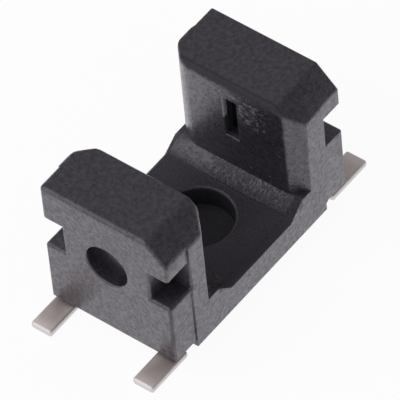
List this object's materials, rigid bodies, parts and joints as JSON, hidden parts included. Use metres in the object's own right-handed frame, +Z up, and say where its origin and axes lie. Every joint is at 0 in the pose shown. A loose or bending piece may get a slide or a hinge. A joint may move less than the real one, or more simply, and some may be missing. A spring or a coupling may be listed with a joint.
{
  "type": "slotted optical switch",
  "caption": "Surface-mount slotted optical switch: black moulded housing with a tower on each side of a sensing slot, light slits in the towers and flat tinned leads.",
  "frame": {"origin": "centre of the footprint on the board plane, under the middle of the slot", "axes": "+X from the detector tower to the emitter tower, +Z up from the board; the slanted tower edges are on the -Y side"},
  "size_m": [0.0078, 0.0034, 0.0039],
  "materials": {
    "black_moulding": "matte moulded, finely mottled",
    "dark_epoxy": "smooth, passes infrared only",
    "tinted_epoxy": "smooth, smoke tinted",
    "silicon": "polished",
    "emitter_crystal": "polished",
    "silver_adhesive": "matte, silver filled",
    "gold": "bright",
    "tinned_strip": "matte tin plate"
  },
  "bodies": {
    "root": {"housing": "black_moulding", "detector_package": "dark_epoxy", "emitter_package": "tinted_epoxy", "detector_die": "silicon", "emitter_die": "emitter_crystal", "detector_die_adhesive": "silver_adhesive", "emitter_die_adhesive": "silver_adhesive", "detector_bond_wire": "gold", "emitter_bond_wire": "gold", "detector_collector_lead": "tinned_strip", "detector_emitter_lead": "tinned_strip", "emitter_cathode_lead": "tinned_strip", "emitter_anode_lead": "tinned_strip"}
  },
  "joints": []
}
